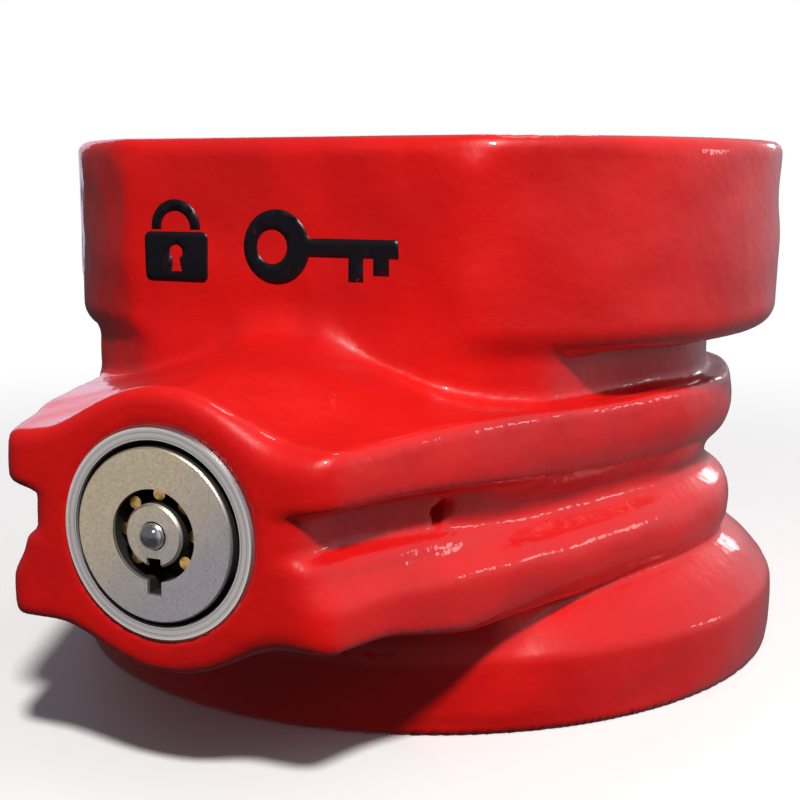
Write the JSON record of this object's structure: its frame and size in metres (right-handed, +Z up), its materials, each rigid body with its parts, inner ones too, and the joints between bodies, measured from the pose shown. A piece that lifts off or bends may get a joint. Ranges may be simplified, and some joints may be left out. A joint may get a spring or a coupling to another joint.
{
  "type": "trailer coupler lock",
  "caption": "Cast horseshoe cup with two ribs and a front boss, holding a keyed push cylinder that raises a locking plunger into a trailer coupler's ball socket.",
  "frame": {"origin": "centre of the base's underside, under the plunger", "axes": "+Z up along the plunger, -Y towards the lock's front, +X to the right seen from the front"},
  "size_m": [0.1036, 0.1286, 0.071],
  "materials": {
    "red_paint": "gloss powder coat over a casting",
    "turned_steel": "turned, nickel plated",
    "hard_steel": "ground and hardened",
    "chrome": "polished ball",
    "brass": "turned",
    "zinc": "zinc plated",
    "spring_steel": "oiled wire",
    "black_rubber": "moulded"
  },
  "bodies": {
    "casting": {"body_casting": "red_paint", "base_cover": "zinc", "cover_screws": "zinc", "lock_sleeve": "turned_steel", "retaining_pin": "hard_steel", "plunger_bush": "hard_steel", "barrel_spring": "spring_steel", "plunger_spring": "spring_steel"},
    "barrel": {"lock_barrel": "turned_steel", "barrel_seal": "black_rubber", "pin_core": "brass", "driver_pins": "hard_steel", "driver_springs": "spring_steel", "barrel_end_ring": "zinc", "drive_rod": "zinc", "swivel_pin": "hard_steel", "drive_pin": "hard_steel"},
    "spindle": {"key_spindle": "turned_steel", "anti_drill_ball": "chrome", "cam_pin": "hard_steel"},
    "tumblers": {"key_pins": "brass"},
    "plunger": {"plunger": "hard_steel"}
  },
  "joints": [
    {"name": "barrel_slide", "type": "slide", "parent": "casting", "child": "barrel", "axis": [0, -1, 0], "range_m": [0, 0.01], "deforming": ["barrel_spring"]},
    {"name": "key_turn", "type": "hinge", "parent": "barrel", "child": "spindle", "pos_m": [0, -0.0747, 0.0297], "axis": [0, 1, 0], "range_deg": [0, 90]},
    {"name": "pin_press", "type": "slide", "parent": "spindle", "child": "tumblers", "axis": [0, 1, 0], "range_m": [0, 0.002]},
    {"name": "plunger_drop", "type": "slide", "parent": "casting", "child": "plunger", "axis": [0, 0, -1], "range_m": [0, 0.01], "deforming": ["plunger_spring"]}
  ],
  "couplings": [
    {"joint": "key_turn", "follows": "barrel_slide", "rad_per_m": 157.07},
    {"joint": "plunger_drop", "follows": "barrel_slide", "ratio": 1}
  ]
}
